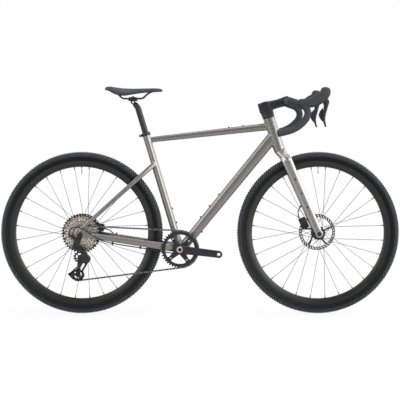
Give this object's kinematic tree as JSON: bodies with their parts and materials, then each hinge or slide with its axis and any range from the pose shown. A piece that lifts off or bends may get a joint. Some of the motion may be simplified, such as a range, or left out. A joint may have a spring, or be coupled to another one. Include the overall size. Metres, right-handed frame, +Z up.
{
  "type": "gravel bicycle",
  "caption": "Gravel bicycle with a drop handlebar, disc brakes, a single chainring and knobbly tyres, built as separate moving pieces.",
  "frame": {"origin": "on the ground, midway between the two wheels, on the bicycle's middle plane", "axes": "+X forwards, +Y to the rider's left, +Z up; the drivetrain is on the -Y side"},
  "size_m": [1.748, 0.507, 0.996],
  "materials": {
    "frame_paint": "satin metallic champagne grey paint over aluminium",
    "fork_paint": "satin metallic silver paint",
    "black_alloy": "black anodised",
    "bare_alloy": "pale anodised",
    "steel": "brushed",
    "rim_black": "matt black anodised",
    "tyre": "matt",
    "tape": "matt, wound",
    "hood_rubber": "matt",
    "black_plastic": "matt",
    "saddle_skin": "matt dark blue-grey cover over foam",
    "pad": "matt brake lining",
    "hose": "satin black"
  },
  "bodies": {
    "frame": {"head_tube": "frame_paint", "seat_tube": "frame_paint", "bottom_bracket_shell": "frame_paint", "top_tube": "frame_paint", "down_tube": "frame_paint", "chainstays": "frame_paint", "seatstays": "frame_paint", "dropouts": "frame_paint", "derailleur_hanger": "black_alloy", "seat_clamp": "black_alloy", "headset_bearings": "steel", "bottom_bracket_cups": "black_alloy", "rear_axle": "black_alloy", "rear_caliper": "black_alloy", "rear_brake_hose": "hose", "shift_housing": "hose", "chain": "steel", "derailleur_body": "black_alloy"},
    "steering": {"fork": "fork_paint", "headset_cover": "black_plastic", "stem": "black_alloy", "stem_faceplate": "black_alloy", "handlebar": "black_alloy", "bar_tape": "tape", "bar_end_plugs": "black_plastic", "lever_hoods": "hood_rubber", "front_axle": "black_alloy", "front_caliper": "black_alloy", "front_brake_hose": "hose"},
    "front_wheel": {"front_rim": "rim_black", "front_tyre": "tyre", "front_hub": "black_alloy", "front_spokes": "steel", "front_rotor": "steel"},
    "rear_wheel": {"rear_rim": "rim_black", "rear_tyre": "tyre", "rear_hub": "black_alloy", "rear_spokes": "steel", "rear_rotor": "steel"},
    "cassette": {"freehub": "bare_alloy", "sprockets": "bare_alloy"},
    "crankset": {"crank_spindle": "steel", "right_crank": "black_alloy", "left_crank": "black_alloy", "chainring": "black_alloy"},
    "left_lever": {"left_brake_lever": "black_alloy"},
    "right_lever": {"right_brake_lever": "black_alloy"},
    "shift_paddle": {"right_shift_paddle": "black_plastic"},
    "post": {"seatpost": "black_alloy"},
    "clamp": {"saddle_clamp": "black_alloy"},
    "saddle": {"saddle_cover": "saddle_skin", "saddle_base": "black_plastic", "saddle_rails": "steel"},
    "cage": {"derailleur_cage": "black_alloy"},
    "upper_pulley": {"guide_pulley": "black_plastic"},
    "lower_pulley": {"tension_pulley": "black_plastic"},
    "front_pad_in": {"front_inner_pad": "pad"},
    "front_pad_out": {"front_outer_pad": "pad"},
    "rear_pad_in": {"rear_inner_pad": "pad"},
    "rear_pad_out": {"rear_outer_pad": "pad"}
  },
  "joints": [
    {"name": "steering", "type": "hinge", "parent": "frame", "child": "steering", "pos_m": [0.47438, 0, 0.3414], "axis": [-0.3173, 0, 0.9483], "range_deg": [-65, 65]},
    {"name": "front_wheel_spin", "type": "hinge", "parent": "steering", "child": "front_wheel", "pos_m": [0.518, 0, 0.356], "axis": [0, 1, 0], "continuous": true},
    {"name": "rear_wheel_spin", "type": "hinge", "parent": "frame", "child": "rear_wheel", "pos_m": [-0.518, 0, 0.356], "axis": [0, 1, 0], "continuous": true},
    {"name": "crank_spin", "type": "hinge", "parent": "frame", "child": "crankset", "pos_m": [-0.08733, 0, 0.288], "axis": [0, 1, 0], "continuous": true, "deforming": ["chain"]},
    {"name": "cassette_spin", "type": "hinge", "parent": "frame", "child": "cassette", "pos_m": [-0.518, 0, 0.356], "axis": [0, 1, 0], "continuous": true},
    {"name": "cage_swing", "type": "hinge", "parent": "frame", "child": "cage", "pos_m": [-0.495, 0, 0.248], "axis": [0, -1, 0], "range_deg": [-8, 40], "stiffness_Nm_per_rad": 1, "deforming": ["chain"]},
    {"name": "guide_pulley_spin", "type": "hinge", "parent": "cage", "child": "upper_pulley", "pos_m": [-0.52378, 0, 0.25446], "axis": [0, 1, 0], "continuous": true},
    {"name": "tension_pulley_spin", "type": "hinge", "parent": "cage", "child": "lower_pulley", "pos_m": [-0.5325, 0, 0.1779], "axis": [0, 1, 0], "continuous": true},
    {"name": "left_brake_pull", "type": "hinge", "parent": "steering", "child": "left_lever", "pos_m": [0.51304, 0.205, 0.93637], "axis": [0, 1, 0], "range_deg": [0, 20], "stiffness_Nm_per_rad": 4},
    {"name": "right_brake_pull", "type": "hinge", "parent": "steering", "child": "right_lever", "pos_m": [0.51304, -0.205, 0.93637], "axis": [0, 1, 0], "range_deg": [0, 20], "stiffness_Nm_per_rad": 4},
    {"name": "shift_press", "type": "hinge", "parent": "right_lever", "child": "shift_paddle", "pos_m": [0.51904, -0.1992, 0.90037], "axis": [-0.0535, 0, -0.9986], "range_deg": [0, 12], "stiffness_Nm_per_rad": 1},
    {"name": "post_height", "type": "slide", "parent": "frame", "child": "post", "axis": [-0.2857, 0, 0.9583], "range_m": [-0.1, 0.06]},
    {"name": "saddle_tilt", "type": "hinge", "parent": "post", "child": "clamp", "pos_m": [-0.29233, 0, 0.92802], "axis": [0, 1, 0], "range_deg": [-10, 10]},
    {"name": "saddle_setback", "type": "slide", "parent": "clamp", "child": "saddle", "axis": [1, 0, 0], "range_m": [-0.014, 0.014]},
    {"name": "front_inner_pad_squeeze", "type": "slide", "parent": "steering", "child": "front_pad_in", "axis": [0, 1, 0], "range_m": [0, 0.00025]},
    {"name": "front_outer_pad_squeeze", "type": "slide", "parent": "steering", "child": "front_pad_out", "axis": [0, -1, 0], "range_m": [0, 0.00025]},
    {"name": "rear_inner_pad_squeeze", "type": "slide", "parent": "frame", "child": "rear_pad_in", "axis": [0, 1, 0], "range_m": [0, 0.00025]},
    {"name": "rear_outer_pad_squeeze", "type": "slide", "parent": "frame", "child": "rear_pad_out", "axis": [0, -1, 0], "range_m": [0, 0.00025]}
  ],
  "couplings": [
    {"joint": "cassette_spin", "follows": "crank_spin", "ratio": 2.3529},
    {"joint": "guide_pulley_spin", "follows": "crank_spin", "ratio": -3.0769},
    {"joint": "tension_pulley_spin", "follows": "crank_spin", "ratio": 3.0769},
    {"joint": "front_inner_pad_squeeze", "follows": "left_brake_pull", "m_per_rad": 0.0007162},
    {"joint": "front_outer_pad_squeeze", "follows": "left_brake_pull", "m_per_rad": 0.0007162},
    {"joint": "rear_inner_pad_squeeze", "follows": "right_brake_pull", "m_per_rad": 0.0007162},
    {"joint": "rear_outer_pad_squeeze", "follows": "right_brake_pull", "m_per_rad": 0.0007162}
  ]
}
